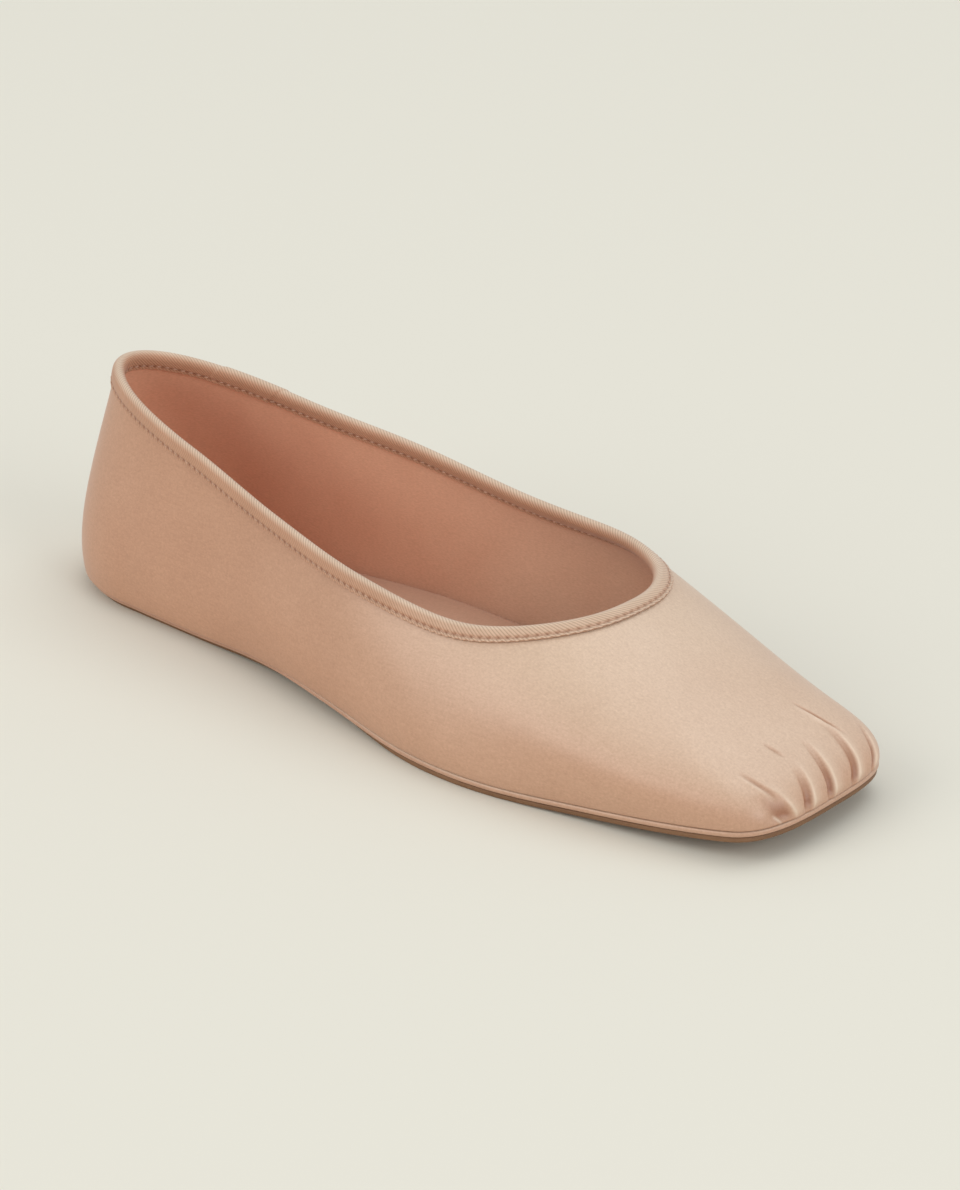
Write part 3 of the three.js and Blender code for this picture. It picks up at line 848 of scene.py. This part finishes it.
lining_lap = zoned_laps(LINING_ZONES)
lining_height = rows_up(lining_lap, LINING_ROWS)
lining = skin_piece(
    "upper_lining", lining_lap, (lining_height, lining_height),
    (np.full_like(lining_height, -LINING_BACK), np.full_like(lining_height, -WALL_THICK)),
)
lining.data.materials.append(lining_cloth())
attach(lining, "root")

# Collar binding: twill tape cut on the bias, folded over the raw edge of satin and lining and
# sewn through near its lower edges, so that the rim is a soft roll. Its ends overlap on the
# inner side near the back.
RIM_STEPS = 8000
TAPE_COLUMNS = 1400
LEAF_STEPS = 17
ROLL_STEPS = 16
# The tape reaches TAPE_DEPTH below the rim and stands proud of the wall, less at its lower edges.
TAPE_DEPTH = 4.8
TAPE_PROUD = 0.9
TAPE_EDGE = 0.7
ROLL_RADIUS = WALL_THICK / 2 + TAPE_PROUD
# Its underside keeps a gap from the wall and closes in a fold over the raw edge.
TAPE_GAP = 0.2
FOLD_DEPTH = 0.6
FOLD_HALF_WIDTH = 0.5
FOLD_START = 1.0
# Stitches pinch the tape along a line, deepest at their holes, and scallop its lower edges; painted
# shade darkens that line, most at the holes.
STITCH_DEPTH = 3.85
STITCH_PITCH = 2.3
STITCH_PINCH = 0.22
STITCH_WIDTH = 0.45
PINCH_WAVE = 0.2
HOLE_SHARE = 0.6
EDGE_SCALLOP = 0.12
# The ends of the tape overlap between these distances from the back, cut on a slant.
TAPE_LAP_START = 27.0
TAPE_LAP_END = 46.0
TAPE_LAP_SWELL = 0.22
TAPE_LAP_SLANT = 0.7
TAPE_LAP_STEP = 0.8
RIB_PITCH = 0.72
RIB_TURN = math.radians(-45)
# Blender's wave texture turns through this many radians over a unit of its scaled places.
WAVE_RADIANS = 20
# The second colour is painted sheen on top of the roll.
TAPE_SIDE = (0.610, 0.340, 0.214)
TAPE_PAINTED_SHEEN = (0.760, 0.585, 0.440)


def lap_at_rim(distance):
    """Laps at distances along the rim from its back, round the outer side first, and its length."""
    lap = np.linspace(0, 2, RIM_STEPS + 1)
    step = np.linalg.norm(np.diff(rim_on_lap(lap), axis=0), axis=1)
    walked = np.concatenate([[0], np.cumsum(step)])
    return np.interp(distance, walked, lap), walked[-1]


def off_rim(lap, depth, offset):
    """Points at depths below the rim and offsets from the wall's outer face. Above the middle of
    the roll they leave the wall straight upwards."""
    length = wall_lines(lap)[1][:, -1:]
    on_wall = np.maximum(depth, ROLL_RADIUS)
    points, normal, up = wall_frame(lap, length - on_wall)
    return points + normal * offset[:, :, None] + up * (on_wall - depth)[:, :, None]


def tape_section():
    """Depth and offset round the folded tape: outer leaf, roll, inner leaf, then its underside."""
    down = np.linspace(TAPE_DEPTH, ROLL_RADIUS, LEAF_STEPS + 1)
    slope = (down - ROLL_RADIUS) / (TAPE_DEPTH - ROLL_RADIUS)
    proud = TAPE_PROUD + (TAPE_EDGE - TAPE_PROUD) * slope ** 2
    turn = np.linspace(0, np.pi, ROLL_STEPS + 1)[1:-1]
    middle = -WALL_THICK / 2
    outer = np.stack([down, proud], -1)
    roll = np.stack([ROLL_RADIUS * (1 - np.sin(turn)), middle + ROLL_RADIUS * np.cos(turn)], -1)
    inner = np.stack([down, 2 * middle - proud], -1)[::-1]
    under = np.array([
        (TAPE_DEPTH, 2 * middle - TAPE_GAP),
        (FOLD_START, 2 * middle - TAPE_GAP),
        (FOLD_DEPTH, middle - FOLD_HALF_WIDTH),
        (FOLD_DEPTH, middle + FOLD_HALF_WIDTH),
        (FOLD_START, TAPE_GAP),
        (TAPE_DEPTH, TAPE_GAP),
    ])
    return np.concatenate([outer, roll, inner, under]), len(outer) + len(roll) + len(inner)


def lap_swell(from_back, step):
    """How much the tape swells where its ends overlap, at distances from the back of the rim."""
    swell = soft_step(TAPE_LAP_START, TAPE_LAP_START + step, from_back)
    swell *= 1 - soft_step(TAPE_LAP_END, TAPE_LAP_END + step, from_back)
    return TAPE_LAP_SWELL * swell


def twill_tape():
    """Twill with slanting ribs, painted paler as sheen on top of the roll and darker with painted
    shade along the stitched line.
    """
    material, surface = new_finish(
        "binding_twill", TAPE_SIDE, roughness=0.55, Specular_IOR_Level=0.4, Sheen_Weight=0.25,
        Sheen_Roughness=0.4,
    )
    plain = lay_of(material)
    cloud = noise_of(material, plain, scale=0.08, detail=3.0)
    fuzz = noise_of(material, plain, scale=2.5)
    ribs = add_node(
        material, "ShaderNodeTexWave", dict(Vector=lay_of(material, turn=RIB_TURN)),
        Scale=2 * math.pi / (WAVE_RADIANS * RIB_PITCH), Distortion=0.5, Detail=1.0, Detail_Scale=1.0,
    ).outputs["Fac"]
    # Painted sheen on top of the roll.
    painted_sheen = own_value(material, "painted_light")
    colour = tones_of(material, painted_sheen, TAPE_SIDE, TAPE_PAINTED_SHEEN, stretch=(0.15, 0.95))
    colour = shade_by(material, colour, cloud, dark=(0.92, 0.90, 0.88))
    colour = shade_by(material, colour, ribs, dark=(0.74, 0.70, 0.67), stretch=(0.05, 0.6))
    # Painted shade along the stitched line, most at the holes.
    colour = shade_marked(material, colour, "painted_stitch_shade", dark=(0.56, 0.43, 0.37))
    dress(material, surface, colour, spread_of(material, fuzz, low=0.45, high=0.6), [
        dict(height=ribs, depth=0.14, strength=0.55),
        dict(height=fuzz, depth=0.03, strength=0.3),
    ])
    return material


# Columns of the tape round the rim, which takes a whole number of stitches.
section, leaf_count = tape_section()
_, rim_length = lap_at_rim(np.zeros(1))
stitch_count = round(rim_length / STITCH_PITCH)
stitch_step = rim_length / stitch_count
tape_place = np.linspace(0, rim_length, TAPE_COLUMNS + 1)
tape_lap = lap_at_rim(tape_place[:-1])[0]
tape_depth = np.repeat(section[None, :, 0], TAPE_COLUMNS, axis=0)
tape_offset = np.repeat(section[None, :, 1], TAPE_COLUMNS, axis=0)
section_step = np.linalg.norm(np.diff(section, axis=0), axis=1)
across_tape = np.concatenate([[0], np.cumsum(section_step)])

# Relief of the two leaves and the roll: the swell of the overlap, the stitched line and its holes;
# then painted shade along that line.
leaf_depth = section[None, :leaf_count, 0]
leaf_offset = section[None, :leaf_count, 1] + WALL_THICK / 2
from_middle = across_tape[None, :leaf_count] - across_tape[leaf_count - 1] / 2
from_back = rim_length - tape_place[:-1, None] + TAPE_LAP_SLANT * from_middle
phase = np.cos(2 * np.pi * tape_place[:-1, None] / stitch_step)
seam = np.exp(-((leaf_depth - STITCH_DEPTH) / STITCH_WIDTH) ** 2)
pinch = STITCH_PINCH * seam * (1 - PINCH_WAVE + PINCH_WAVE * phase)
lift = lap_swell(from_back, TAPE_LAP_STEP) - pinch
leaf_side = np.where(leaf_offset > 0, 1, -1)
painted_stitch_shade = np.zeros_like(tape_depth)
painted_stitch_shade[:, :leaf_count] = seam * (1 - HOLE_SHARE + HOLE_SHARE * leaf_side * phase).clip(0, 1)

# The relief lifts the roll away from its middle and the leaves away from the wall.
turn_out = np.clip(leaf_offset / ROLL_RADIUS, -1, 1)
on_roll = leaf_depth < ROLL_RADIUS
lift_up = np.where(on_roll, np.sqrt(np.clip(1 - turn_out ** 2, 0, 1)), 0)
lift_out = np.where(on_roll, turn_out, np.sign(turn_out))
edge = soft_step(STITCH_DEPTH, TAPE_DEPTH, leaf_depth)
tape_depth[:, :leaf_count] += edge * EDGE_SCALLOP * phase - lift * lift_up
tape_offset[:, :leaf_count] += lift * lift_out
rings = off_rim(tape_lap, tape_depth, tape_offset).transpose(1, 0, 2)

# Places along and across the cloth of the tape, for its ribs.
lie = np.stack(np.meshgrid(across_tape, tape_place, indexing="ij")[::-1], -1)
lie = np.concatenate([lie, np.zeros_like(lie[:, :, :1])], -1)
next_ring = np.roll(np.arange(len(section)), -1)
places = np.stack([lie[:, :-1], lie[:, 1:], lie[next_ring, 1:], lie[next_ring, :-1]], 2)
tape = make_piece("collar_tape", rings.reshape(-1, 3), ring_faces(*rings.shape[:2]), places)
keep_value(tape, "painted_stitch_shade", painted_stitch_shade.T)
tape.data.materials.append(twill_tape())
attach(tape, "root")
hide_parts("collar_binding")

# Binding stitches: one row of thread on each face of the collar, sewn through tape, satin and
# lining a millimetre above the lower edges of the tape.
THREAD_RADIUS = 0.21
THREAD_TIP = 0.08
THREAD_TAPER = 6
THREAD_SHARE = 0.72
THREAD_SLANT = 0.22
THREAD_STEPS = 8
THREAD_SIDES = 7
# A stitch lies on the pinched tape, stands a little over it and dives through it at both ends.
THREAD_LEVEL = 0.58
THREAD_STAND = 0.10
THREAD_DIVE = 0.34
THREAD_BEND = 3
THREAD_LAP_STEP = 1.0
# The inner row lies half a stitch further along than the outer one.
THREAD_ROWS = [
    dict(offset=THREAD_LEVEL, side=1, shift=0.0),
    dict(offset=-WALL_THICK - THREAD_LEVEL, side=-1, shift=0.5),
]
THREAD_LIGHT = (0.620, 0.400, 0.285)
THREAD_DARK = (0.420, 0.240, 0.160)


def thread_finish():
    """Twisted thread, a little deeper than the tape."""
    material, surface = new_finish(
        "stitch_thread", THREAD_LIGHT, roughness=0.45, Specular_IOR_Level=0.45,
    )
    twist = noise_of(material, lay_of(material), scale=1.8)
    colour = tones_of(material, twist, THREAD_DARK, THREAD_LIGHT)
    dress(material, surface, colour, spread_of(material, twist, low=0.4, high=0.55), [
        dict(height=twist, depth=0.05, strength=0.5),
    ])
    return material


def thread_tubes(centres):
    """Points and faces of closed tubes, tapered to their ends, along rows of centre points."""
    count, steps = centres.shape[:2]
    along = unit(np.gradient(centres, axis=1))
    side = unit(np.cross(along, np.array([0.0, 0.0, 1.0])))
    above = np.cross(side, along)
    share = np.linspace(-1, 1, steps)
    taper = np.sqrt(np.clip(1 - share ** THREAD_TAPER, THREAD_TIP, 1))
    width = THREAD_RADIUS * taper[None, :, None, None]
    angle = np.linspace(0, 2 * np.pi, THREAD_SIDES, endpoint=False)[None, None, :, None]
    turn = side[:, :, None] * np.cos(angle) + above[:, :, None] * np.sin(angle)
    points = centres[:, :, None] + width * turn
    faces = []
    for k in range(count):
        start = k * steps * THREAD_SIDES
        for s in range(steps - 1):
            low = start + s * THREAD_SIDES
            high = low + THREAD_SIDES
            for n in range(THREAD_SIDES):
                m = (n + 1) % THREAD_SIDES
                faces.append([low + n, high + n, high + m, low + m])
        last = start + (steps - 1) * THREAD_SIDES
        faces.append(list(range(start, start + THREAD_SIDES)))
        faces.append(list(range(last, last + THREAD_SIDES))[::-1])
    return points.reshape(-1, 3), faces


thread_points = []
thread_faces = []
for row in THREAD_ROWS:
    share = np.linspace(-0.5, 0.5, THREAD_STEPS)[None, :]
    middle = stitch_step * (np.arange(stitch_count) + 0.5 + row["shift"])[:, None]
    place = np.mod(middle + share * THREAD_SHARE * stitch_step, rim_length)
    depth = np.broadcast_to(STITCH_DEPTH + 2 * THREAD_SLANT * share, place.shape)
    stand = THREAD_STAND - (THREAD_DIVE + THREAD_STAND) * np.abs(2 * share) ** THREAD_BEND
    stand = stand + lap_swell(rim_length - place, THREAD_LAP_STEP)
    offset = row["offset"] + row["side"] * stand
    laps = lap_at_rim(place.ravel())[0]
    centres = off_rim(laps, depth.reshape(-1, 1), offset.reshape(-1, 1)).reshape(*place.shape, 3)
    points, faces = thread_tubes(centres)
    base = sum(len(block) for block in thread_points)
    thread_points.append(points)
    thread_faces.extend([[base + corner for corner in face] for face in faces])
stitches = make_piece("binding_stitches", np.concatenate(thread_points), thread_faces)
stitches.data.materials.append(thread_finish())
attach(stitches, "root")

# Studio: a pale paper floor that runs out of the picture, and three large soft lights: above the
# inner side, on the outer side near the heel, and in front of the toe. The camera stands at the
# photograph's angle to the shoe.

# The floor and the lights are in metres and watts.
FLOOR_SIZE = 40.0
FLOOR_PALE = (0.820, 0.812, 0.725)
AIR_STRENGTH = 0.605
LIGHT_AIM = (0.0, 0.0, 0.03)
STUDIO_LIGHTS = [
    dict(name="key_light", place=(0.0, 1.25, 2.90), size=2.6, power=19.5, tint=WHITE, gloss=1.0),
    dict(name="fill_light", place=(-1.2, -2.4, 1.6), size=2.4, power=27.0, tint=(1.0, 0.92, 0.85),
         gloss=0.3),
    dict(name="toe_light", place=(2.7, -0.2, 1.2), size=2.0, power=20.0, tint=WHITE, gloss=1.0),
]
# The camera is in millimetres, as the shoe is. Its lens fills the picture with the shoe.
IMAGE_HEIGHT = 1190
SENSOR = 36.0
CAMERA_AZIMUTH = math.radians(42.5)
CAMERA_ELEVATION = math.radians(24.8)
CAMERA_DISTANCE = 1165.0
CAMERA_CENTRE = np.array([0.0, 0.0, 23.9])
CAMERA_AIM = np.array([5.7, 7.9, 24.4])
PHOTO_FOCAL_PIXELS = 3327.0
ENLARGE = 1.365


def look_at(thing, place, aim):
    """Puts a light or camera at a place and points it at another."""
    thing.location = place
    thing.rotation_euler = (Vector(aim) - Vector(place)).to_track_quat("-Z", "Y").to_euler()
    bpy.context.scene.collection.objects.link(thing)


floor_mesh = bpy.data.meshes.new("studio_floor")
edge = FLOOR_SIZE / 2
floor_corners = [(-edge, -edge, 0), (edge, -edge, 0), (edge, edge, 0), (-edge, edge, 0)]
floor_mesh.from_pydata(floor_corners, [], [[0, 1, 2, 3]])
floor = bpy.data.objects.new("studio_floor", floor_mesh)
bpy.context.scene.collection.objects.link(floor)
floor_finish, _ = new_finish("studio_paper", FLOOR_PALE, roughness=0.9, Specular_IOR_Level=0.1)
floor_mesh.materials.append(floor_finish)
for lamp in STUDIO_LIGHTS:
    light = bpy.data.lights.new(lamp["name"], "AREA")
    light.color = lamp["tint"]
    light.specular_factor = lamp["gloss"]
    light.shape = "DISK"
    light.size = lamp["size"]
    light.energy = lamp["power"]
    look_at(bpy.data.objects.new(lamp["name"], light), lamp["place"], LIGHT_AIM)
world = bpy.data.worlds.new("studio_air")
world.use_nodes = True
air = world.node_tree.nodes["Background"]
air.inputs["Color"].default_value = (*WHITE, 1)
air.inputs["Strength"].default_value = AIR_STRENGTH
bpy.context.scene.world = world
bpy.context.scene.view_settings.view_transform = "Standard"
lens = bpy.data.cameras.new("camera")
lens.sensor_width = SENSOR
lens.lens = PHOTO_FOCAL_PIXELS * ENLARGE / IMAGE_HEIGHT * SENSOR
camera = bpy.data.objects.new("camera", lens)
back = np.array([
    math.sin(CAMERA_AZIMUTH) * math.cos(CAMERA_ELEVATION),
    -math.cos(CAMERA_AZIMUTH) * math.cos(CAMERA_ELEVATION),
    math.sin(CAMERA_ELEVATION),
])
camera_place = CAMERA_CENTRE + AXIS_PLACE + CAMERA_DISTANCE * back
look_at(camera, (camera_place * MM).tolist(), (CAMERA_AIM * MM).tolist())
bpy.context.scene.camera = camera
